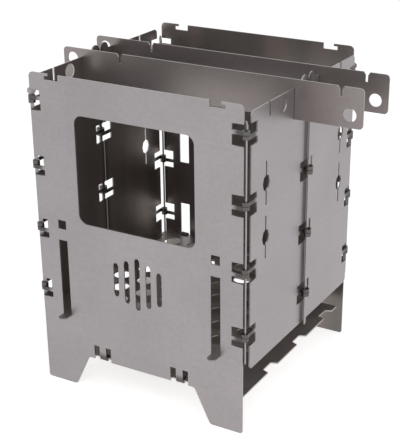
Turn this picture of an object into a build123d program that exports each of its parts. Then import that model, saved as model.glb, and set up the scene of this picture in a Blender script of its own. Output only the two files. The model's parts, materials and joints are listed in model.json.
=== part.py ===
from build123d import *
import os
from math import asin, atan2, cos, degrees, hypot, radians, sin, sqrt

# Folding sheet-metal camping stove that burns twigs, standing ready for use.
# +X right, -Y front, +Z up. Sizes are measured from the middle of the box on the
# ground; the finished pieces are moved so that the origin is under the middle of
# the whole outline, trivets included.
# Two panels and two hinged side walls make a square box round the fire floor.
os.makedirs("parts", exist_ok=True)

# Whole stove
sheet = 1.0
stove_high = 240.0
panel_y = 86.0
panel_side_gap = 1.8
wall_x = 86.5
wall_low = 50.0
wall_high = 235.0
wall_end_gap = 4.2
run_gap = 0.3

# Front and rear panels
panel_corner = 3.5
leg_foot_x = 58.3
leg_top_x = 45.5
panel_low = 26.6
leg_round = 3.0
foot_cut = 1.2
window_half = 47.7
window_low = 134.1
window_high = 214.0
window_round = 6.5
edge_slot_x = 63.2
edge_slot_wide = 7.4
edge_slot_high = 117.6
square_low = 126.2
square_side = 6.9
crown_in = 59.5
crown_lip = 68.0
crown_out = 71.0
crown_low = 235.5
crown_under = 238.3
vent_count = 5
vent_pitch = 9.0
vent_wide = 4.2
vent_middle_z = 96.5
vent_tall = 40.0
vent_step = 7.0
rear_slot_x = 64.4
rear_slot_wide = 8.6
rear_slot_low = 51.0
rear_slot_high = 86.0
rear_upper_low = 123.0
rear_upper_high = 150.0

# Hinge stations up each corner and each middle seam
station_low = 76.0
station_pitch = 48.0
station_count = 4

# Corner hinges: rolled eyes on a flat strip pin
pin_wide = 2.6
pin_gap = 0.057
eye_high = 2.7
knuckle_sides = 12
bore_sides = 8
panel_notch_x = 75.5
wall_notch_y = 73.0
notch_high = 14.6
pin_low = 55.0
pin_turn = 45.0
pin_end_cut = 1.0
pin_head_wide = 6.0
pin_head_high = 6.4
pin_head_shoulder = 1.9
pin_head_cheek = 3.8
head_seat = 0.1

# Middle hinges: rolled rings outside the wall on a flat strip pin of their own
middle_y = 1.6
middle_seam = 1.4
middle_pin_wide = 3.2
middle_pin_turn = 90.0
middle_pin_low = 48.0
ring_bore = 2.0
middle_notch_deep = 9.8
middle_drop = 1.2
hump_r = 5.0

# Cut-outs in the side walls
trivet_y = 20.0
trivet_slot = 2.0
trivet_floor = 213.0
short_slit_y = 56.0
short_slit_wide = 2.0
short_slit_low = 225.5
wall_hole_y = 37.0
wall_hole_z = 228.0
wall_hole_r = 5.5
leaf_y = 60.0
leaf_slit = 1.6
leaf_tall = 31.0
leaf_wide = 10.0
leaf_eye_tall = 12.0
leaf_shoulder = 45.0
leaf_z = (141.5, 180.5)
wall_corner = 2.2

# Trivets: two long bars on edge across the top
trivet_long = 240.0
trivet_tall = 27.7
trivet_left = (-103.0, -101.5)
trivet_corner = 2.8
trivet_hole_r = 4.65
right_hole_in = 9.5
right_hole_up = 8.8
left_hole_in = 8.0
left_hole_down = 8.0
pot_notch_left = 49.5
pot_notch_apart = 174.0
pot_notch_deep = 7.0
pot_notch_mouth = 4.6
pot_notch_floor = 1.8

# Fire floor, hinged on the rear panel
floor_z = 57.7
plate_side_gap = 2.6
floor_front_y = -84.5
floor_axis_y = 83.6
floor_tab_wide = 6.6
floor_tab_tip_y = -95.5
floor_hole_r = 7.0
floor_hole_sides = 14
floor_hole_pitch = 22.0
floor_hole_rows = 8
floor_holes_short = 6
plate_notch_deep = 5.0
plate_notch_in = 12.0
plate_notch_out = 16.0
floor_notch_first_y = 66.0
floor_notch_count = 4
floor_tongue_x = 64.0
root_inset = 0.125
floor_corner_cut = 4.0
tongue_wide = 5.6
tongue_side_gap = 0.6

# Ash plate, hinged on the front panel under the fire floor
ash_z = 28.5
ash_axis_y = -83.8
ash_rear_y = 75.0
ash_notch_first_y = 58.0
ash_notch_count = 3
ash_tongue_x = 33.0
ash_notch_half = 7.35
ash_notch_top = 37.9
ash_tab_wide = 6.6
ash_tab_tip_y = 84.6
rest_reach = 6.5
rest_bend = 1.5

# Worked out from the sizes above
half_sheet = sheet / 2
tongue_overlap = sheet / 4
plate_half = wall_x - half_sheet - plate_side_gap
panel_half = wall_x - half_sheet - panel_side_gap
wall_end_y = panel_y - half_sheet - wall_end_gap
pin_reach = hypot(pin_wide, sheet) / 2
eye_bore = pin_reach + pin_gap
eye_outer = eye_bore + sheet
eye_middle = eye_bore + half_sheet
corner_x = wall_x + half_sheet - eye_outer
corner_y = panel_y + half_sheet - eye_outer
middle_x = wall_x + half_sheet + ring_bore
ring_outer = ring_bore + sheet
stations = [station_low + station_pitch * i for i in range(station_count)]
top_station = stations[-1]
edge_slot_low = floor_z - half_sheet - run_gap


def panel_plane(side):
    """Upright plane on a panel's middle; side is -1 in front and +1 behind."""
    return Plane(origin=(0, side * panel_y, 0), x_dir=(-side, 0, 0), z_dir=(0, side, 0))


wall_plane = Plane(origin=(wall_x, 0, 0), x_dir=(0, 1, 0), z_dir=(1, 0, 0))


def cut_box(x_low, x_high, y_low, y_high):
    """Cut an upright rectangle, given by its four sides, from the open sketch."""
    with Locations(((x_low + x_high) / 2, (y_low + y_high) / 2)):
        Rectangle(x_high - x_low, y_high - y_low, mode=Mode.SUBTRACT)


def cut_edge_notch(edge, root, middle):
    """Cut a hinge notch from an upright edge back to its root."""
    past = edge + sheet if edge > root else edge - sheet
    low, high = sorted((root, past))
    cut_box(low, high, middle - notch_high / 2, middle + notch_high / 2)


def round_corners(radius, inside):
    """Round the corners of the open sketch that the test picks."""
    fillet(vertices().filter_by(inside), radius=radius)


def cut_corners(length, inside):
    """Cut the corners of the open sketch that the test picks."""
    chamfer(vertices().filter_by(inside), length=length)


def panel_profile():
    """Outline shared by both panels: legs, hinge notches and hooked crown slots."""
    Polygon(
        (-panel_half, 0),
        (-leg_foot_x, 0),
        (-leg_top_x, panel_low),
        (leg_top_x, panel_low),
        (leg_foot_x, 0),
        (panel_half, 0),
        (panel_half, stove_high),
        (-panel_half, stove_high),
        align=None,
    )
    round_corners(panel_corner, lambda v: v.Y > stove_high - sheet)
    round_corners(leg_round, lambda v: abs(v.Y - panel_low) < sheet)
    cut_corners(foot_cut, lambda v: abs(v.Y) < sheet)
    for side in (-1, 1):
        Polygon(
            (side * crown_in, stove_high + sheet),
            (side * crown_in, crown_low),
            (side * crown_out, crown_low),
            (side * crown_out, crown_under),
            (side * crown_lip, crown_under),
            (side * crown_lip, stove_high + sheet),
            align=None,
            mode=Mode.SUBTRACT,
        )
        for z in stations:
            cut_edge_notch(side * panel_half, side * panel_notch_x, z)
        mouth = sorted((side * (ash_tongue_x - ash_notch_half),
                        side * (ash_tongue_x + ash_notch_half)))
        cut_box(mouth[0], mouth[1], panel_low - sheet, ash_notch_top)


def cut_vent(x, z, tall):
    """Cut one upright vent with cut corners."""
    half = vent_wide / 2
    with Locations((x, z)):
        Polygon(
            (-half, -tall / 2 + half),
            (-half / 2, -tall / 2),
            (half / 2, -tall / 2),
            (half, -tall / 2 + half),
            (half, tall / 2 - half),
            (half / 2, tall / 2),
            (-half / 2, tall / 2),
            (-half, tall / 2 - half),
            align=None,
            mode=Mode.SUBTRACT,
        )


def eye_floor(z, upper):
    """Underside of the lower or upper rolled eye at one hinge station."""
    return z + run_gap / 2 if upper else z - run_gap / 2 - eye_high


def rolled_eye(x, y, bore, outer, true_round):
    """Ring of a rolled knuckle, pressed in flats, drawn last so that its bore stays open.

    One ring on each pin has a truly round bore.
    """
    with Locations((x, y)):
        RegularPolygon(outer, knuckle_sides, major_radius=False, rotation=180 / knuckle_sides)
        if true_round:
            Circle(bore, mode=Mode.SUBTRACT)
        else:
            RegularPolygon(bore, bore_sides, major_radius=False, rotation=180 / bore_sides,
                           mode=Mode.SUBTRACT)


def curled_tongue(root, eye, lean):
    """Strip from its root to a rolled eye, seen along X; lean picks the side it meets."""
    run_y = eye[0] - root[0]
    run_z = eye[1] - root[1]
    reach = hypot(run_y, run_z)
    turn = atan2(run_z, run_y) + lean * asin(eye_middle / reach)
    length = sqrt(reach**2 - eye_middle**2)
    middle = (root[0] + cos(turn) * length / 2, root[1] + sin(turn) * length / 2)
    with Locations(middle):
        Rectangle(length, sheet, rotation=degrees(turn))
    rolled_eye(eye[0], eye[1], eye_bore, eye_outer, True)


def side_plane(x):
    """Plane across the stove at x, its own x along the depth and its own y upward."""
    return Plane(origin=(x, 0, 0), x_dir=(0, 1, 0), z_dir=(1, 0, 0))


# Front panel: fire window, tall slots for the floor's tabs, vents, ash hinge
with BuildPart() as front_panel:
    with BuildSketch(panel_plane(-1)):
        panel_profile()
        with Locations((0, (window_low + window_high) / 2)):
            RectangleRounded(2 * window_half, window_high - window_low, window_round,
                             mode=Mode.SUBTRACT)
        for side in (-1, 1):
            slot_middle = (side * edge_slot_x, (edge_slot_low + edge_slot_high) / 2)
            with Locations(slot_middle):
                Rectangle(edge_slot_wide, edge_slot_high - edge_slot_low, mode=Mode.SUBTRACT)
            with Locations((side * edge_slot_x, square_low + square_side / 2)):
                Rectangle(square_side, square_side, mode=Mode.SUBTRACT)
        for i in range(vent_count):
            step = i - (vent_count - 1) / 2
            cut_vent(step * vent_pitch, vent_middle_z, vent_tall - abs(step) * vent_step)
    extrude(amount=half_sheet, both=True)
    for side in (-1, 1):
        for z in stations:
            with BuildSketch(Plane.XY.offset(eye_floor(z, z == top_station))):
                with Locations((side * (panel_notch_x + corner_x) / 2, -panel_y)):
                    Rectangle(corner_x - panel_notch_x + tongue_overlap, sheet)
                rolled_eye(side * corner_x, -corner_y, eye_bore, eye_outer, z == top_station)
            extrude(amount=eye_high)
        with BuildSketch(side_plane(side * ash_tongue_x)):
            curled_tongue((-panel_y, ash_notch_top + half_sheet), (ash_axis_y, ash_z), -1)
        extrude(amount=tongue_wide / 2, both=True)

# Rear panel: slots behind the fire, curled tongues for the floor, ash plate rests
with BuildPart() as rear_panel:
    with BuildSketch(panel_plane(1)):
        panel_profile()
        for side in (-1, 1):
            for low, high in ((rear_slot_low, rear_slot_high),
                              (rear_upper_low, rear_upper_high)):
                with Locations((side * rear_slot_x, (low + high) / 2)):
                    Rectangle(rear_slot_wide, high - low, mode=Mode.SUBTRACT)
    extrude(amount=half_sheet, both=True)
    for side in (-1, 1):
        for z in stations:
            with BuildSketch(Plane.XY.offset(eye_floor(z, z == top_station))):
                with Locations((side * (panel_notch_x + corner_x) / 2, panel_y)):
                    Rectangle(corner_x - panel_notch_x + tongue_overlap, sheet)
                rolled_eye(side * corner_x, corner_y, eye_bore, eye_outer, z == top_station)
            extrude(amount=eye_high)
        with BuildSketch(side_plane(side * floor_tongue_x)):
            root = (panel_y - root_inset, rear_slot_low - half_sheet)
            curled_tongue(root, (floor_axis_y, floor_z), 1)
        extrude(amount=tongue_wide / 2, both=True)
        rest_top = ash_z - half_sheet - run_gap
        with BuildSketch(side_plane(side * ash_tongue_x)):
            with Locations((panel_y, (rest_top - sheet + ash_notch_top + sheet) / 2)):
                Rectangle(sheet, ash_notch_top + sheet - rest_top + sheet)
            with Locations((panel_y + half_sheet - rest_reach / 2, rest_top - half_sheet)):
                Rectangle(rest_reach, sheet)
            round_corners(rest_bend + sheet, lambda v: v.X > panel_y and v.Y < rest_top)
        extrude(amount=tongue_wide / 2, both=True)


def half_wall(side):
    """Flat half of the right wall; side is -1 in front and +1 behind."""
    seam_y = middle_y + side * middle_seam / 2
    low, high = sorted((seam_y, side * wall_end_y))
    with Locations(((low + high) / 2, (wall_low + wall_high) / 2)):
        Rectangle(high - low, wall_high - wall_low)
    cut_corners(wall_corner, lambda v: abs(v.X) > wall_end_y - sheet)
    with Locations((seam_y + side * hump_r, wall_high)):
        Circle(hump_r)
    cut_box(side * trivet_y - trivet_slot / 2, side * trivet_y + trivet_slot / 2,
            trivet_floor, wall_high + sheet)
    cut_box(side * short_slit_y - short_slit_wide / 2,
            side * short_slit_y + short_slit_wide / 2, short_slit_low, wall_high + sheet)
    with Locations((side * wall_hole_y, wall_hole_z)):
        Circle(wall_hole_r, mode=Mode.SUBTRACT)
    for z in leaf_z:
        with Locations((side * leaf_y, z)):
            Rectangle(leaf_slit, leaf_tall, mode=Mode.SUBTRACT)
            leaf_eye()
    for z in stations:
        cut_edge_notch(side * wall_end_y, side * wall_notch_y, z)
        cut_edge_notch(seam_y, middle_y + side * middle_notch_deep, z - middle_drop)


def leaf_eye():
    """Pointed oval in the middle of a leaf-shaped slit."""
    tall = leaf_eye_tall / 2
    wide = leaf_wide / 2
    shoulder = wide * cos(radians(leaf_shoulder))
    rise = tall * sin(radians(leaf_shoulder))
    Polygon(
        (0, -tall),
        (shoulder, -rise),
        (wide, 0),
        (shoulder, rise),
        (0, tall),
        (-shoulder, rise),
        (-wide, 0),
        (-shoulder, -rise),
        align=None,
        mode=Mode.SUBTRACT,
    )


def corner_tongue(side):
    """Tongue from a half wall to its rolled eye on the corner pin, seen from above."""
    with Locations((wall_x, side * (wall_notch_y + corner_y) / 2)):
        Rectangle(sheet, corner_y - wall_notch_y + tongue_overlap)
    rolled_eye(corner_x, side * corner_y, eye_bore, eye_outer, False)


def middle_tongue(side, true_round):
    """Tongue from a half wall to its ring on the middle pin, seen from above."""
    with Locations((wall_x, middle_y + side * middle_notch_deep / 2)):
        Rectangle(sheet, middle_notch_deep + tongue_overlap)
    rolled_eye(middle_x, middle_y, ring_bore, ring_outer, true_round)


# Side walls: two flat halves each, hinged at the corners and at the middle seam,
# where the front half's rings lie above the rear half's
right_walls = {}
for side, end_name in ((-1, "front"), (1, "rear")):
    with BuildPart() as wall:
        with BuildSketch(wall_plane):
            half_wall(side)
        extrude(amount=half_sheet, both=True)
        for z in stations:
            with BuildSketch(Plane.XY.offset(eye_floor(z, z != top_station))):
                corner_tongue(side)
            extrude(amount=eye_high)
            with BuildSketch(Plane.XY.offset(eye_floor(z - middle_drop, side < 0))):
                middle_tongue(side, side < 0 and z == top_station)
            extrude(amount=eye_high)
    right_walls["right_" + end_name + "_wall"] = wall.part
left_walls = {
    name.replace("right", "left"): wall.mirror(Plane.YZ)
    for name, wall in right_walls.items()
}


def strip_pin(x, y, turn, wide, low, head_low):
    """Flat strip pin with a shield-shaped head; turn is the angle of its width from +X."""
    pin_plane = Plane(origin=(x, y, 0),
                      x_dir=(cos(radians(turn)), sin(radians(turn)), 0),
                      z_dir=(sin(radians(turn)), -cos(radians(turn)), 0))
    with BuildPart() as pin:
        with BuildSketch(pin_plane):
            with Locations((0, (low + head_low + sheet) / 2)):
                Rectangle(wide, head_low + sheet - low)
            cut_corners(pin_end_cut, lambda v: v.Y < low + sheet)
            Polygon(
                (-pin_head_wide / 2, head_low + pin_head_shoulder),
                (-wide / 2, head_low),
                (wide / 2, head_low),
                (pin_head_wide / 2, head_low + pin_head_shoulder),
                (pin_head_wide / 2, head_low + pin_head_cheek),
                (0, head_low + pin_head_high),
                (-pin_head_wide / 2, head_low + pin_head_cheek),
                align=None,
            )
        extrude(amount=half_sheet, both=True)
    return pin.part


# Pins, dropped through the eyes from above: one at each corner and each middle seam
pins = {}
corner_head = eye_floor(top_station, True) + eye_high + head_seat
for side, side_name in ((1, "right"), (-1, "left")):
    for end, end_name in ((-1, "front"), (1, "rear")):
        pins["pin_" + end_name + "_" + side_name] = strip_pin(
            side * corner_x, end * corner_y, end * side * pin_turn, pin_wide, pin_low,
            corner_head)
    pins["pin_middle_" + side_name] = strip_pin(
        side * middle_x, middle_y, middle_pin_turn, middle_pin_wide, middle_pin_low,
        corner_head - middle_drop)

floor_rear_y = floor_axis_y + pin_wide / 2
ash_front_y = ash_axis_y - pin_wide / 2


def plate_notches(first_y, count):
    """Side notches that let a plate fold up past the corner hinges."""
    for i in range(count):
        y = first_y - station_pitch * i
        for side in (-1, 1):
            Polygon(
                (side * (plate_half + sheet), y - plate_notch_out / 2),
                (side * plate_half, y - plate_notch_out / 2),
                (side * (plate_half - plate_notch_deep), y - plate_notch_in / 2),
                (side * (plate_half - plate_notch_deep), y + plate_notch_in / 2),
                (side * plate_half, y + plate_notch_out / 2),
                (side * (plate_half + sheet), y + plate_notch_out / 2),
                align=None,
                mode=Mode.SUBTRACT,
            )


def plate_blank(y_low, y_high):
    """Plain plate between its front and rear edges."""
    with Locations((0, (y_low + y_high) / 2)):
        Rectangle(2 * plate_half, y_high - y_low)


def hinge_slit(x, bar_edge, inward):
    """Slit that leaves a bar for a curled tongue; inward points away from the bar."""
    far = bar_edge + inward * (eye_outer - pin_wide / 2 + run_gap + run_gap)
    low, high = sorted((bar_edge, far))
    half = tongue_wide / 2 + tongue_side_gap
    cut_box(x - half, x + half, low, high)


# Fire floor: perforated plate with two tabs through the front panel
with BuildPart() as fire_floor:
    with BuildSketch(Plane.XY.offset(floor_z - half_sheet)):
        plate_blank(floor_front_y, floor_rear_y)
        chamfer(vertices().group_by(Axis.Y)[-1], length=floor_corner_cut)
        for side in (-1, 1):
            nose_y = floor_tab_tip_y + floor_tab_wide / 2
            with Locations((side * edge_slot_x, (floor_front_y + nose_y) / 2)):
                Rectangle(floor_tab_wide, floor_front_y - nose_y)
            with Locations((side * edge_slot_x, nose_y)):
                Circle(floor_tab_wide / 2)
            hinge_slit(side * floor_tongue_x, floor_axis_y - pin_wide / 2, -1)
        plate_notches(floor_notch_first_y, floor_notch_count)
        row_pitch = floor_hole_pitch * sqrt(3) / 2
        for row in range(floor_hole_rows):
            y = (row - (floor_hole_rows - 1) / 2) * row_pitch
            with Locations((0, y)):
                with GridLocations(floor_hole_pitch, row_pitch, floor_holes_short + row % 2, 1):
                    RegularPolygon(floor_hole_r, floor_hole_sides, mode=Mode.SUBTRACT)
    extrude(amount=sheet)

# Ash plate: plain plate that hangs on the front panel and rests at the rear
with BuildPart() as ash_plate:
    with BuildSketch(Plane.XY.offset(ash_z - half_sheet)):
        plate_blank(ash_front_y, ash_rear_y)
        for side in (-1, 1):
            with Locations((side * ash_tongue_x, (ash_rear_y + ash_tab_tip_y) / 2)):
                Rectangle(ash_tab_wide, ash_tab_tip_y - ash_rear_y)
            hinge_slit(side * ash_tongue_x, ash_axis_y + pin_wide / 2, 1)
        plate_notches(ash_notch_first_y, ash_notch_count)
    extrude(amount=sheet)

# Trivets: bars with a hole at each end and two notches in the top edge
trivets = {}
trivet_low = trivet_floor + run_gap
for i, name in ((0, "front_trivet"), (1, "rear_trivet")):
    left = trivet_left[i]
    top = trivet_low + trivet_tall
    trivet_plane = Plane(origin=(0, (2 * i - 1) * trivet_y, 0), x_dir=(1, 0, 0),
                         z_dir=(0, -1, 0))
    with BuildPart() as trivet:
        with BuildSketch(trivet_plane):
            with Locations((left + trivet_long / 2, trivet_low + trivet_tall / 2)):
                RectangleRounded(trivet_long, trivet_tall, trivet_corner)
            with Locations((left + trivet_long - right_hole_in, trivet_low + right_hole_up),
                           (left + left_hole_in, top - left_hole_down)):
                Circle(trivet_hole_r, mode=Mode.SUBTRACT)
            for notch_x in (left + pot_notch_left, left + pot_notch_left + pot_notch_apart):
                Polygon(
                    (notch_x - pot_notch_mouth / 2, top + sheet),
                    (notch_x - pot_notch_mouth / 2, top),
                    (notch_x - pot_notch_floor / 2, top - pot_notch_mouth / 2),
                    (notch_x - pot_notch_floor / 2, top - pot_notch_deep),
                    (notch_x + pot_notch_floor / 2, top - pot_notch_deep),
                    (notch_x + pot_notch_floor / 2, top - pot_notch_mouth / 2),
                    (notch_x + pot_notch_mouth / 2, top),
                    (notch_x + pot_notch_mouth / 2, top + sheet),
                    align=None,
                    mode=Mode.SUBTRACT,
                )
        extrude(amount=half_sheet, both=True)
    trivets[name] = trivet.part

pieces = {
    "front_panel": front_panel.part,
    "rear_panel": rear_panel.part,
    **right_walls,
    **left_walls,
    "fire_floor": fire_floor.part,
    "ash_plate": ash_plate.part,
    **pins,
    **trivets,
}
middle_of_outline = (
    (min(trivet_left) + max(trivet_left) + trivet_long) / 2,
    (floor_tab_tip_y + panel_y + half_sheet) / 2,
)
for name, piece in pieces.items():
    placed = piece.moved(Location((-middle_of_outline[0], -middle_of_outline[1], 0)))
    placed.label = name
    export_step(placed, "parts/" + name + ".step")
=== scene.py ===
import json
import math

import bpy
from mathutils import Matrix, Vector


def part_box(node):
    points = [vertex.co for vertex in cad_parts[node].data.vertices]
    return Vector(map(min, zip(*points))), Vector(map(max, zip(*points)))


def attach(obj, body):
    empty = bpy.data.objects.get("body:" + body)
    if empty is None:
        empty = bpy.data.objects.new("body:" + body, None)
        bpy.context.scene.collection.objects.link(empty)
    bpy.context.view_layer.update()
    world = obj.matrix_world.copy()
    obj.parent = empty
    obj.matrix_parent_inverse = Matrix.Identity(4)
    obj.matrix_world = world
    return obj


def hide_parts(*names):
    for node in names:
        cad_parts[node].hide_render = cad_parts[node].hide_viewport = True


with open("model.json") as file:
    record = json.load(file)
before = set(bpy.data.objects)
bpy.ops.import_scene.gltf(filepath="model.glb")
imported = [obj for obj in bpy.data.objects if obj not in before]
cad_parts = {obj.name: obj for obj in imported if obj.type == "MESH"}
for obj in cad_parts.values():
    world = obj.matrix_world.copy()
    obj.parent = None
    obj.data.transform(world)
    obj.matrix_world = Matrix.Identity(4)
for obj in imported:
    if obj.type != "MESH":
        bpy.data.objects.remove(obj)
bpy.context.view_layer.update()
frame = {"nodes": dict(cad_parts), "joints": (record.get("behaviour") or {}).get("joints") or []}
nodes = frame["nodes"]
joints = {joint["name"]: joint for joint in frame["joints"]}
scene = bpy.context.scene

# Camera: the photograph's viewing angle, in metres from the middle of the box
PHOTO_WIDE = 400
PHOTO_HIGH = 440
AZIMUTH = math.radians(29.46)
ELEVATION = math.radians(23.54)
ROLL = math.radians(-0.17)
DISTANCE = 0.854
FOCAL_PIXELS = 1129.8
SENSOR = 36.0
NEAREST = 0.01
LOOK_AT_X = 0.01794
LOOK_AT_Z = 0.10204
IMAGE_CENTRE_X = 220.0
IMAGE_CENTRE_Y = 240.0

# Light: levels of the world and the white floor, and the lamps' places from the box
WHITE = (1, 1, 1, 1)
WORLD_SHOWN = 1.0
WORLD_LEVEL = 0.42
FLOOR_WIDE = 6.0
FLOOR_GREY = (0.93, 0.93, 0.93, 1)
FLOOR_GLOW = 0.6
LAMPS_AIM = (0, 0, 0.1)
LAMPS = (
    {"name": "lamp_front", "place": (0.45, -1.0, 0.9), "wide": 1.0, "power": 4},
    {"name": "lamp_right", "place": (1.2, -0.2, 0.7), "wide": 0.9, "power": 3},
    {"name": "lamp_left", "place": (-1.1, -0.5, 0.9), "wide": 0.9, "power": 1},
)

# Hinge stations: heights of the notches that each hold a pair of rolled eyes
STATION_FIRST = 0.076
STATION_PITCH = 0.048
STATION_COUNT = 4
STATIONS = [STATION_FIRST + STATION_PITCH * i for i in range(STATION_COUNT)]
TOP_STATION = STATIONS[-1]

# Rolled eyes: inner and outer radius of each curl, its length, and the gap to the next one
EYE_HIGH = 0.0027
EYE_GAP = 0.00015
CORNER_RING = (0.00143, 0.00255)
MIDDLE_RING = (0.00198, 0.00312)
MIDDLE_DROP = 0.0012
TONGUE_WIDE = 0.0056
ASH_TONGUE_X = 0.033
FLOOR_TONGUE_X = 0.064
RING_SKIN = 0.00002
RING_STEPS = 36
RING_ROUND = 0.00015

# Ways that the free ends of the curls look, at the right rear corner and on the lying curls
SEAM_OPEN = math.radians(10)
PANEL_SEAM = (-1, -0.25)
WALL_SEAM = (-0.25, -1)
MIDDLE_SEAM = (0.2, 1)
ASH_SEAM = (0.4, 1)
FLOOR_SEAM = (-0.2, -1)

# An upright curl laid along x: its own x and y become y and z
LYING = Matrix(((0, 0, 1), (1, 0, 0), (0, 1, 0))).to_4x4()

# Fire floor, in metres from the middle of the box
SHEET = 0.001
FLOOR_FRONT = -0.0845
FLOOR_CORNER = 0.004
TAB_X = 0.0632
TAB_HALF = 0.0033
TAB_TIP = -0.0955
TAB_STEPS = 12
NOTCH_DEEP = 0.005
NOTCH_IN = 0.012
NOTCH_OUT = 0.016
NOTCH_REAR = 0.066
NOTCH_PITCH = 0.048
NOTCH_COUNT = 4
BAR_EDGE = 0.0823
SLIT_DEEP = 0.00175
SLIT_HALF = 0.0034
HOLE_RADIUS = 0.007
HOLE_PITCH = 0.022
HOLE_ROWS = 8
HOLES_SHORT = 6
HOLE_STEPS = 40
EDGE_ROUND = 0.00012
MERGE_WITHIN = 0.000004
SMOOTH_WITHIN = math.radians(15)

# Colours of the titanium
OUTSIDE = (0.33, 0.306, 0.312)
# Inner faces: darker as painted shade inside the box; the warmer colour is for upright streaks of
# painted reflection
INSIDE_SHADE = (0.175, 0.165, 0.158)
INSIDE_REFLECTION = (0.30, 0.25, 0.23)
# Rolled eyes: darker than the sheets they are rolled from, painted shade in their curls
CURL_SHADE = (0.11, 0.101, 0.097)
# Cut edges: lighter than the faces, a painted edge highlight
EDGE_HIGHLIGHT = (0.40, 0.38, 0.375)
FIRE_FLOOR = (0.27, 0.25, 0.242)
# Ash plate: lighter than the other titanium, painted light that lifts the plate out of its shade
# under the box
ASH_PLATE_LIT = (0.44, 0.407, 0.388)
TRIVET = (0.275, 0.244, 0.238)
# Rear pins: darker, as painted shade on the side away from the lamps
REAR_PIN_SHADE = (0.15, 0.14, 0.136)

# Surface of the titanium: roughness ranges, then noise scale, detail and stretch with its range
METALLIC = 0.92
SATIN = (0.34, 0.46)
POLISHED = (0.20, 0.28)
# The next noise makes upright streaks of painted reflection on the inner faces, then its range
REFLECTION_STREAKS = (9.0, 1.5, (4.0, 4.0, 0.6))
REFLECTION_STREAK_RANGE = (0.0, 1.0)
CLOUDS = (16.0, 3.0)
CLOUD_RANGE = (0.95, 1.05)
MOTTLE = (420.0, 2.0)
MOTTLE_RANGE = (0.965, 1.035)
ROLLED = (60.0, 2.0, (0.4, 0.4, 9.0))
ROLLED_RANGE = (0.985, 1.015)
GRAIN = (2600.0, 2.0)
GRAIN_BUMP = 0.15
GRAIN_DEEP = 0.0001
NOISE_LOW = 0.3
NOISE_HIGH = 0.7
SQUARE_ON = 0.5

# Painted shade at the tongues' bends and the walls' middle seams: from the middle of the box to
# the tongues' roots, and how far and dark each painted shade runs
NOTCH_HALF = 0.0075
PANEL_ROOT = 0.0755
WALL_ROOT = 0.0730
MIDDLE_ROOT = 0.0098
BEND_SHADE = 0.72
BEND_RUN = 0.0045
LOWER_TONGUE_HALF = 0.0030
LOWER_TONGUE_RUN = 0.0060
SEAM_DARK = 0.0008
SEAM_SHADE_END = 0.0060
SEAM_SHADE = 0.5

# Ways that a sheet's broad faces look
ALONG_X = (1, 0, 0)
ALONG_Y = (0, 1, 0)
ALONG_Z = (0, 0, 1)


def middle_of(low, high):
    """Half-way between two values."""
    return (low + high) / 2


def opposite(way):
    """The same way turned round."""
    return tuple(-part for part in way)


def box_middle():
    """Point on the ground under the middle of the stove's box."""
    front_low, front_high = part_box("front_panel")
    rear_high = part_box("rear_panel")[1]
    x = middle_of(front_low.x, front_high.x)
    y = middle_of(front_low.y, rear_high.y)
    return Vector((x, y, 0))


CENTRE = box_middle()


def hinge_axis(name):
    """Where a hinge's axis stands, from the middle of the box."""
    return Vector(joints[name]["pos_m"]) - CENTRE


# The right rear corner is mirrored to the others, and the right wall's middle to the left's
CORNER = hinge_axis("right_rear_hinge")
MIDDLE = hinge_axis("right_middle_hinge")
ASH_AXIS = hinge_axis("ash_plate_hinge")
FLOOR_AXIS = hinge_axis("fire_floor_hinge")


def select_only(*chosen):
    """Select these objects and nothing else, the first of them active."""
    bpy.ops.object.select_all(action="DESELECT")
    for one in chosen:
        one.select_set(True)
    bpy.context.view_layer.objects.active = chosen[0]


def add_camera():
    """Camera of the photograph, with its picture centre and slight roll."""
    look_at = CENTRE + Vector((LOOK_AT_X, 0, LOOK_AT_Z))
    away = Vector((
        math.sin(AZIMUTH) * math.cos(ELEVATION),
        -math.cos(AZIMUTH) * math.cos(ELEVATION),
        math.sin(ELEVATION),
    ))
    lens = bpy.data.cameras.new("camera")
    lens.sensor_fit = "HORIZONTAL"
    lens.sensor_width = SENSOR
    lens.lens = FOCAL_PIXELS * SENSOR / PHOTO_WIDE
    lens.shift_x = (PHOTO_WIDE / 2 - IMAGE_CENTRE_X) / PHOTO_WIDE
    lens.shift_y = (IMAGE_CENTRE_Y - PHOTO_HIGH / 2) / PHOTO_WIDE
    lens.clip_start = NEAREST
    camera = bpy.data.objects.new("camera", lens)
    scene.collection.objects.link(camera)
    camera.location = look_at + away * DISTANCE
    camera.rotation_euler = (-away).to_track_quat("-Z", "Y").to_euler()
    camera.rotation_euler.rotate_axis("Z", ROLL)
    scene.camera = camera


def math_node(tree, operation, first, second=None):
    """Output of one math node on values or constants."""
    node = tree.nodes.new("ShaderNodeMath")
    node.operation = operation
    for i, value in enumerate((first, second)):
        if value is None:
            continue
        if isinstance(value, (int, float)):
            node.inputs[i].default_value = value
        else:
            tree.links.new(value, node.inputs[i])
    return node.outputs[0]


def shown_to(tree, shown, lit):
    """Mix of two shaders: one for camera, glossy and transmission rays, one for the rest."""
    path = tree.nodes.new("ShaderNodeLightPath")
    seen = math_node(tree, "MAXIMUM", path.outputs["Is Camera Ray"],
                     path.outputs["Is Glossy Ray"])
    seen = math_node(tree, "MAXIMUM", seen, path.outputs["Is Transmission Ray"])
    mix = tree.nodes.new("ShaderNodeMixShader")
    tree.links.new(seen, mix.inputs[0])
    tree.links.new(lit.outputs[0], mix.inputs[1])
    tree.links.new(shown.outputs[0], mix.inputs[2])
    return mix


def background(tree, level):
    """White background of a given strength."""
    node = tree.nodes.new("ShaderNodeBackground")
    node.inputs["Color"].default_value = WHITE
    node.inputs["Strength"].default_value = level
    return node


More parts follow.
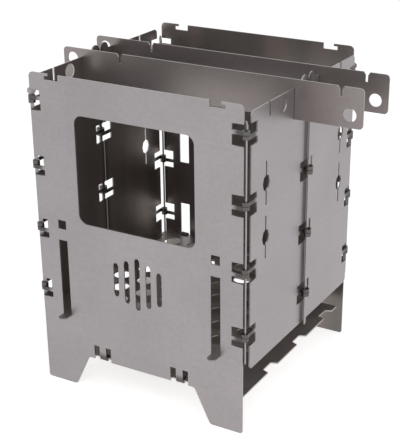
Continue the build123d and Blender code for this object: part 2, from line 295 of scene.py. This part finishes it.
def add_world():
    """World that shows as white and lights the stove at a plain level."""
    world = bpy.data.worlds.new("world")
    scene.world = world
    world.use_nodes = True
    tree = world.node_tree
    tree.nodes.clear()
    out = tree.nodes.new("ShaderNodeOutputWorld")
    mix = shown_to(tree, background(tree, WORLD_SHOWN), background(tree, WORLD_LEVEL))
    tree.links.new(mix.outputs[0], out.inputs["Surface"])


def add_lamp(name, place, wide, power):
    """Soft square lamp, aimed at the stove."""
    data = bpy.data.lights.new(name, "AREA")
    data.shape = "SQUARE"
    data.size = wide
    data.energy = power
    lamp = bpy.data.objects.new(name, data)
    scene.collection.objects.link(lamp)
    lamp.location = CENTRE + Vector(place)
    towards = CENTRE + Vector(LAMPS_AIM) - lamp.location
    lamp.rotation_euler = towards.to_track_quat("-Z", "Y").to_euler()


def add_floor():
    """White floor that shows as plain white and keeps the stove's soft shadow."""
    bpy.ops.object.select_all(action="DESELECT")
    bpy.ops.mesh.primitive_plane_add(size=FLOOR_WIDE, location=(0, 0, 0))
    floor = bpy.context.object
    floor.name = "studio_floor"
    material = bpy.data.materials.new("studio_floor")
    material.use_nodes = True
    tree = material.node_tree
    tree.nodes.clear()
    out = tree.nodes.new("ShaderNodeOutputMaterial")
    plain = tree.nodes.new("ShaderNodeBsdfDiffuse")
    plain.inputs["Color"].default_value = FLOOR_GREY
    glow = tree.nodes.new("ShaderNodeEmission")
    glow.inputs["Strength"].default_value = FLOOR_GLOW
    pale = tree.nodes.new("ShaderNodeAddShader")
    tree.links.new(plain.outputs[0], pale.inputs[0])
    tree.links.new(glow.outputs[0], pale.inputs[1])
    mix = shown_to(tree, pale, plain)
    tree.links.new(mix.outputs[0], out.inputs["Surface"])
    floor.data.materials.append(material)


def noise(tree, place, scale, detail, stretch=(1, 1, 1)):
    """Noise over the object, stretched along one way where asked."""
    spread = tree.nodes.new("ShaderNodeMapping")
    spread.inputs["Scale"].default_value = stretch
    tree.links.new(place.outputs["Object"], spread.inputs["Vector"])
    texture = tree.nodes.new("ShaderNodeTexNoise")
    texture.inputs["Scale"].default_value = scale
    texture.inputs["Detail"].default_value = detail
    tree.links.new(spread.outputs["Vector"], texture.inputs["Vector"])
    return texture.outputs["Fac"]


def map_range(tree, value, start, end, low, high):
    """Map Range node that takes a value from low at start to high at end."""
    ranged = tree.nodes.new("ShaderNodeMapRange")
    ranged.inputs["From Min"].default_value = start
    ranged.inputs["From Max"].default_value = end
    ranged.inputs["To Min"].default_value = low
    ranged.inputs["To Max"].default_value = high
    tree.links.new(value, ranged.inputs["Value"])
    return ranged


def noise_range(tree, value, low, high):
    """A noise value spread evenly over a range."""
    return map_range(tree, value, NOISE_LOW, NOISE_HIGH, low, high).outputs["Result"]


def fade(tree, value, start, end, low, high):
    """Smooth rise or fall of a value from low at start to high at end."""
    ranged = map_range(tree, value, start, end, low, high)
    ranged.interpolation_type = "SMOOTHSTEP"
    return ranged.outputs["Result"]


def distance(tree, value, middle):
    """How far a value is from a middle one, on either side."""
    return math_node(tree, "ABSOLUTE", math_node(tree, "SUBTRACT", value, middle))


def facing(tree, normal, way):
    """One where the surface looks along a way, else zero."""
    dot = tree.nodes.new("ShaderNodeVectorMath")
    dot.operation = "DOT_PRODUCT"
    dot.inputs[1].default_value = way
    tree.links.new(normal, dot.inputs[0])
    return math_node(tree, "GREATER_THAN", dot.outputs["Value"], SQUARE_ON)


def blend_colour(tree, factor, first, second):
    """Mix of two colours, each a constant or a node's output."""
    mix = tree.nodes.new("ShaderNodeMix")
    mix.data_type = "RGBA"
    tree.links.new(factor, mix.inputs["Factor"])
    for socket, colour in (("A", first), ("B", second)):
        if isinstance(colour, tuple):
            mix.inputs[socket].default_value = (*colour, 1)
        else:
            tree.links.new(colour, mix.inputs[socket])
    return mix.outputs["Result"]


def at_station(tree, height, drop=0):
    """One within a hinge notch's height, else zero."""
    half = STATION_PITCH / 2
    shifted = math_node(tree, "SUBTRACT", height, STATION_FIRST - drop - half)
    wrapped = math_node(tree, "FLOORED_MODULO", shifted, STATION_PITCH)
    near = math_node(tree, "LESS_THAN", distance(tree, wrapped, half), NOTCH_HALF)
    hinged = math_node(tree, "GREATER_THAN", height, STATION_FIRST - half)
    return math_node(tree, "MULTIPLY", near, hinged)


def panel_stain(tree, place):
    """Painted shade on a panel, darker towards the bends of its hinge tongues and towards the
    curls of its lower tongues.
    """
    reach = distance(tree, place.outputs["X"], CENTRE.x)
    height = place.outputs["Z"]
    bend = fade(tree, reach, PANEL_ROOT, PANEL_ROOT + BEND_RUN, 0.0, BEND_SHADE)
    bend = math_node(tree, "MULTIPLY", bend, at_station(tree, height))
    # Painted shade down the lower tongues towards their curls
    on_tongue = math_node(tree, "LESS_THAN", distance(tree, reach, ASH_TONGUE_X),
                          LOWER_TONGUE_HALF)
    curl = fade(tree, height, ASH_AXIS.z + LOWER_TONGUE_RUN, ASH_AXIS.z, 0.0, BEND_SHADE)
    curl = math_node(tree, "MULTIPLY", curl, on_tongue)
    return math_node(tree, "MAXIMUM", bend, curl)


def wall_stain(tree, place):
    """Painted shade on a wall at the bends of its hinge tongues and along its middle seam."""
    reach = distance(tree, place.outputs["Y"], CENTRE.y)
    seam_off = distance(tree, place.outputs["Y"], CENTRE.y + MIDDLE.y)
    height = place.outputs["Z"]
    corner = fade(tree, reach, WALL_ROOT, WALL_ROOT + BEND_RUN, 0.0, BEND_SHADE)
    corner = math_node(tree, "MULTIPLY", corner, at_station(tree, height))
    middle = fade(tree, seam_off, MIDDLE_ROOT - BEND_RUN, MIDDLE_ROOT, BEND_SHADE, 0.0)
    middle = math_node(tree, "MULTIPLY", middle, at_station(tree, height, MIDDLE_DROP))
    # Painted shade along the middle seam, next to the pin
    seam = fade(tree, seam_off, SEAM_DARK, SEAM_SHADE_END, SEAM_SHADE, 0.0)
    return math_node(tree, "MAXIMUM", math_node(tree, "MAXIMUM", corner, middle), seam)


def sheet_colour(tree, coordinates, colour, edge, sheet_way, inward):
    """Colour of a sheet's faces: its own outside, a darker inside as painted shade with streaks of
    painted reflection, another at the cut edge, by default lighter as a painted edge highlight.
    """
    normal = coordinates.outputs["Normal"]
    base = colour
    if inward is not None:
        # Inner faces: painted shade, with warmer upright streaks of painted reflection
        reflection_streaks = noise_range(tree, noise(tree, coordinates, *REFLECTION_STREAKS), *REFLECTION_STREAK_RANGE)
        shaded_inside = blend_colour(tree, reflection_streaks, INSIDE_SHADE, INSIDE_REFLECTION)
        base = blend_colour(tree, facing(tree, normal, inward), colour, shaded_inside)
    if sheet_way is not None:
        # Cut edges take the edge colour, by default a painted edge highlight
        broad = math_node(tree, "MAXIMUM", facing(tree, normal, sheet_way),
                          facing(tree, normal, opposite(sheet_way)))
        base = blend_colour(tree, broad, edge, base)
    return base


def surface_tone(tree, coordinates, stain):
    """How light the metal is: clouds, mottling and rolling lines, darker where shade is painted at
    the bends and seams.
    """
    tone = noise_range(tree, noise(tree, coordinates, *CLOUDS), *CLOUD_RANGE)
    mottle = noise_range(tree, noise(tree, coordinates, *MOTTLE), *MOTTLE_RANGE)
    rolled = noise_range(tree, noise(tree, coordinates, *ROLLED), *ROLLED_RANGE)
    tone = math_node(tree, "MULTIPLY", math_node(tree, "MULTIPLY", tone, mottle), rolled)
    if stain is None:
        return tone
    # Painted shade at the bends and seams darkens the tone
    place = tree.nodes.new("ShaderNodeSeparateXYZ")
    tree.links.new(coordinates.outputs["Object"], place.inputs["Vector"])
    unshaded = math_node(tree, "SUBTRACT", 1.0, stain(tree, place))
    return math_node(tree, "MULTIPLY", tone, unshaded)


def titanium(name, colour, sheet_way=None, inward=None, edge=EDGE_HIGHLIGHT, stain=None,
             rough=SATIN):
    """Blasted titanium with fine grain.

    sheet_way is the way that the sheet's broad faces look, inward the one that its
    inner face looks, painted darker as shade with streaks of painted reflection. A curl
    and a pin have neither. The function given for bends and seams paints shade there.
    """
    material = bpy.data.materials.new("titanium_" + name)
    material.use_nodes = True
    tree = material.node_tree
    shader = tree.nodes["Principled BSDF"]
    shader.inputs["Metallic"].default_value = METALLIC
    coordinates = tree.nodes.new("ShaderNodeTexCoord")

    base = sheet_colour(tree, coordinates, colour, edge, sheet_way, inward)
    toned = tree.nodes.new("ShaderNodeVectorMath")
    toned.operation = "SCALE"
    if isinstance(base, tuple):
        toned.inputs[0].default_value = base
    else:
        tree.links.new(base, toned.inputs[0])
    tree.links.new(surface_tone(tree, coordinates, stain), toned.inputs["Scale"])
    tree.links.new(toned.outputs["Vector"], shader.inputs["Base Color"])

    grain = noise(tree, coordinates, *GRAIN)
    tree.links.new(noise_range(tree, grain, *rough), shader.inputs["Roughness"])
    bump = tree.nodes.new("ShaderNodeBump")
    bump.inputs["Strength"].default_value = GRAIN_BUMP
    bump.inputs["Distance"].default_value = GRAIN_DEEP
    tree.links.new(grain, bump.inputs["Height"])
    tree.links.new(bump.outputs["Normal"], shader.inputs["Normal"])
    return material


def dress(piece, material):
    """Give a piece one finish all over."""
    piece.data.materials.clear()
    piece.data.materials.append(material)


def dress_box():
    """Panels and wall halves: inner faces darker as painted shade with streaks of painted
    reflection, and painted shade at their bends and seams.
    """
    for name, inward in (("front_panel", ALONG_Y), ("rear_panel", opposite(ALONG_Y))):
        dress(nodes[name], titanium(name, OUTSIDE, ALONG_Y, inward, stain=panel_stain))
    for side, inward in (("right", opposite(ALONG_X)), ("left", ALONG_X)):
        for half in ("front", "rear"):
            name = f"{side}_{half}_wall"
            dress(nodes[name], titanium(name, OUTSIDE, ALONG_X, inward, stain=wall_stain))


def dress_loose_pieces():
    """Pins, trivets and ash plate, which are the same on both faces."""
    for name, node in nodes.items():
        if name.startswith("pin"):
            # The rear pins are darker as painted shade
            colour = REAR_PIN_SHADE if "rear" in name else OUTSIDE
            dress(node, titanium(name, colour))
        elif name.endswith("trivet"):
            dress(node, titanium(name, TRIVET, ALONG_Y))
    # The ash plate's lighter colour is painted light, lifting it out of its shade
    plate = titanium("ash_plate", ASH_PLATE_LIT, ALONG_Z, edge=ASH_PLATE_LIT)
    dress(nodes["ash_plate"], plate)


def floor_tab():
    """Round-nosed front tab of the fire floor, right side, from its inner to its outer root."""
    nose = TAB_TIP + TAB_HALF
    points = [(TAB_X - TAB_HALF, FLOOR_FRONT)]
    for step in range(TAB_STEPS + 1):
        angle = math.pi + math.pi * step / TAB_STEPS
        points.append((TAB_X + TAB_HALF * math.cos(angle), nose + TAB_HALF * math.sin(angle)))
    points.append((TAB_X + TAB_HALF, FLOOR_FRONT))
    return points


def floor_notches(side_edge):
    """Right side notches of the fire floor, front to rear, the first cut by the front edge."""
    inner = side_edge - NOTCH_DEEP
    points = []
    for i in reversed(range(NOTCH_COUNT)):
        y = NOTCH_REAR - NOTCH_PITCH * i
        points += [
            (side_edge, y - NOTCH_OUT / 2), (inner, y - NOTCH_IN / 2),
            (inner, y + NOTCH_IN / 2), (side_edge, y + NOTCH_OUT / 2),
        ]
    slope = NOTCH_DEEP / ((NOTCH_OUT - NOTCH_IN) / 2)
    points[0] = (inner + (points[1][1] - FLOOR_FRONT) * slope, FLOOR_FRONT)
    return points


def floor_outline():
    """Outline of the fire floor, anticlockwise from the middle of its front edge."""
    right_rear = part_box("fire_floor")[1] - CENTRE
    side_edge = right_rear.x
    rear_edge = right_rear.y
    right = [
        (0, FLOOR_FRONT), *floor_tab(), *floor_notches(side_edge),
        (side_edge, rear_edge - FLOOR_CORNER), (side_edge - FLOOR_CORNER, rear_edge),
    ]
    left = [(-x, y) for x, y in reversed(right[1:])]
    return right + left


def round_hole(x, y):
    """Outline of one air hole."""
    angles = [math.tau * step / HOLE_STEPS for step in reversed(range(HOLE_STEPS))]
    return [(x + HOLE_RADIUS * math.cos(angle), y + HOLE_RADIUS * math.sin(angle))
            for angle in angles]


def air_holes():
    """Outlines of all air holes, in rows that are staggered by half a pitch."""
    row_pitch = HOLE_PITCH * math.sqrt(3) / 2
    holes = []
    for row in range(HOLE_ROWS):
        y = (row - (HOLE_ROWS - 1) / 2) * row_pitch
        count = HOLES_SHORT + row % 2
        for i in range(count):
            holes.append(round_hole((i - (count - 1) / 2) * HOLE_PITCH, y))
    return holes


def hinge_slit(x):
    """Outline of the slit that leaves a bar at the rear edge for a hinge tongue."""
    return [
        (x - SLIT_HALF, BAR_EDGE - SLIT_DEEP), (x - SLIT_HALF, BAR_EDGE),
        (x + SLIT_HALF, BAR_EDGE), (x + SLIT_HALF, BAR_EDGE - SLIT_DEEP),
    ]


def add_outline(curve, points):
    """Closed straight-sided outline in a flat curve."""
    outline = curve.splines.new("POLY")
    outline.points.add(len(points) - 1)
    for point, (x, y) in zip(outline.points, points):
        point.co = (x, y, 0, 1)
    outline.use_cyclic_u = True


def cut_sheet(name, outlines, middle):
    """Sheet cut along flat outlines, with softened edges, about the middle of its thickness."""
    curve = bpy.data.curves.new(name, "CURVE")
    curve.dimensions = "2D"
    curve.fill_mode = "BOTH"
    curve.bevel_depth = EDGE_ROUND
    curve.bevel_resolution = 1
    curve.extrude = SHEET / 2 - EDGE_ROUND
    curve.offset = -EDGE_ROUND
    for points in outlines:
        add_outline(curve, points)
    drawn = bpy.data.objects.new(name, curve)
    scene.collection.objects.link(drawn)
    select_only(drawn)
    bpy.ops.object.convert(target="MESH")
    sheet = bpy.context.object
    sheet.data.transform(Matrix.Translation(middle))
    bpy.ops.object.mode_set(mode="EDIT")
    bpy.ops.mesh.select_all(action="SELECT")
    bpy.ops.mesh.remove_doubles(threshold=MERGE_WITHIN)
    bpy.ops.mesh.dissolve_degenerate(threshold=MERGE_WITHIN)
    bpy.ops.mesh.normals_make_consistent(inside=False)
    bpy.ops.object.mode_set(mode="OBJECT")
    bpy.ops.object.shade_smooth_by_angle(angle=SMOOTH_WITHIN)
    return sheet


def add_fire_floor():
    """Fire floor with truly round holes and softened edges, in place of the solid's."""
    slits = [hinge_slit(side * FLOOR_TONGUE_X) for side in (-1, 1)]
    outlines = [floor_outline(), *air_holes(), *slits]
    middle = CENTRE + Vector((0, 0, FLOOR_AXIS.z))
    sheet = cut_sheet("fire_floor_sheet", outlines, middle)
    dress(sheet, titanium("fire_floor", FIRE_FLOOR, ALONG_Z, edge=FIRE_FLOOR))
    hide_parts("fire_floor")
    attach(sheet, "floor")


def roll_eye(name, ring, wide):
    """Pattern for a rolled eye round the upright axis, its section swept nearly once round."""
    inner, outer = ring
    bpy.ops.object.select_all(action="DESELECT")
    bpy.ops.mesh.primitive_plane_add(
        size=1, location=(middle_of(inner, outer), 0, 0), rotation=(math.pi / 2, 0, 0))
    eye = bpy.context.object
    eye.name = name
    eye.scale = (outer - inner, wide + 2 * RING_SKIN, 1)
    bpy.ops.object.transform_apply(location=True, rotation=True, scale=True)
    bpy.ops.object.mode_set(mode="EDIT")
    bpy.ops.mesh.select_all(action="SELECT")
    bpy.ops.mesh.bevel(offset=RING_ROUND, segments=1, affect="VERTICES")
    bpy.ops.mesh.select_all(action="SELECT")
    bpy.ops.mesh.spin(steps=RING_STEPS, angle=math.tau - SEAM_OPEN,
                      center=(0, 0, 0), axis=(0, 0, 1))
    bpy.ops.mesh.select_all(action="SELECT")
    bpy.ops.mesh.normals_make_consistent(inside=False)
    bpy.ops.object.mode_set(mode="OBJECT")
    bpy.ops.object.shade_smooth_by_angle(angle=SMOOTH_WITHIN)
    return eye


def set_eye(pattern, centre, seam, lying=False):
    """Copy of a rolled eye at its place; seam is the way that its free end looks."""
    eye = pattern.copy()
    eye.data = pattern.data.copy()
    scene.collection.objects.link(eye)
    turn = Matrix.Rotation(math.atan2(seam[1], seam[0]) + SEAM_OPEN / 2, 4, "Z")
    if lying:
        turn = LYING @ turn
    eye.data.transform(Matrix.Translation(CENTRE + Vector(centre)) @ turn)
    return eye


def eye_middle(z, upper):
    """Middle height of the lower or upper rolled eye at a hinge station."""
    half = EYE_GAP + EYE_HIGH / 2
    return z + half if upper else z - half


def mirrored(seam, side, end):
    """A seam's way, carried from the right rear corner to another one."""
    return (side * seam[0], end * seam[1])


def panel_eyes(corner_eye, end):
    """One panel's eyes at both corners, the upper of a pair at the top station, else the lower."""
    eyes = []
    for side in (-1, 1):
        for z in STATIONS:
            place = (side * CORNER.x, end * CORNER.y, eye_middle(z, z == TOP_STATION))
            eyes.append(set_eye(corner_eye, place, mirrored(PANEL_SEAM, side, end)))
    return eyes


def plate_eyes(plate_eye, axis, tongue_x, seam):
    """The two lying eyes of a panel that carry a plate."""
    return [set_eye(plate_eye, (side * tongue_x, axis.y, axis.z), seam, lying=True)
            for side in (-1, 1)]


def wall_eyes(corner_eye, middle_eye, side, end):
    """One wall half's eyes at its corner and at the wall's middle, the others of each pair."""
    eyes = []
    for z in STATIONS:
        place = (side * CORNER.x, end * CORNER.y, eye_middle(z, z != TOP_STATION))
        eyes.append(set_eye(corner_eye, place, mirrored(WALL_SEAM, side, end)))
        place = (side * MIDDLE.x, MIDDLE.y, eye_middle(z - MIDDLE_DROP, end < 0))
        eyes.append(set_eye(middle_eye, place, mirrored(MIDDLE_SEAM, side, end)))
    return eyes


def join_eyes(eyes, name, material, body):
    """One piece of several rolled eyes, riding on a body."""
    select_only(*eyes)
    bpy.ops.object.join()
    joined = eyes[0]
    joined.name = name
    joined.data.name = name
    dress(joined, material)
    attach(joined, body)


def add_rolled_eyes():
    """Smooth rolled eyes over the solids' faceted ones, one piece for each body."""
    # The eyes are darker than the sheets, as painted shade in the curls
    curl = titanium("curl", CURL_SHADE, rough=POLISHED)
    corner_eye = roll_eye("corner_eye", CORNER_RING, EYE_HIGH)
    middle_eye = roll_eye("middle_eye", MIDDLE_RING, EYE_HIGH)
    plate_eye = roll_eye("plate_eye", CORNER_RING, TONGUE_WIDE)
    for end, panel, axis, tongue_x, seam in (
            (-1, "front", ASH_AXIS, ASH_TONGUE_X, ASH_SEAM),
            (1, "rear", FLOOR_AXIS, FLOOR_TONGUE_X, FLOOR_SEAM)):
        eyes = panel_eyes(corner_eye, end) + plate_eyes(plate_eye, axis, tongue_x, seam)
        join_eyes(eyes, panel + "_panel_eyes", curl, panel)
        for side, side_name in ((-1, "left"), (1, "right")):
            body = side_name + "_" + panel
            eyes = wall_eyes(corner_eye, middle_eye, side, end)
            join_eyes(eyes, body + "_wall_eyes", curl, body)
    for pattern in (corner_eye, middle_eye, plate_eye):
        bpy.data.objects.remove(pattern)


add_camera()
add_world()
for lamp in LAMPS:
    add_lamp(**lamp)
add_floor()
dress_box()
dress_loose_pieces()
add_fire_floor()
add_rolled_eyes()

scene.view_settings.view_transform = "Standard"
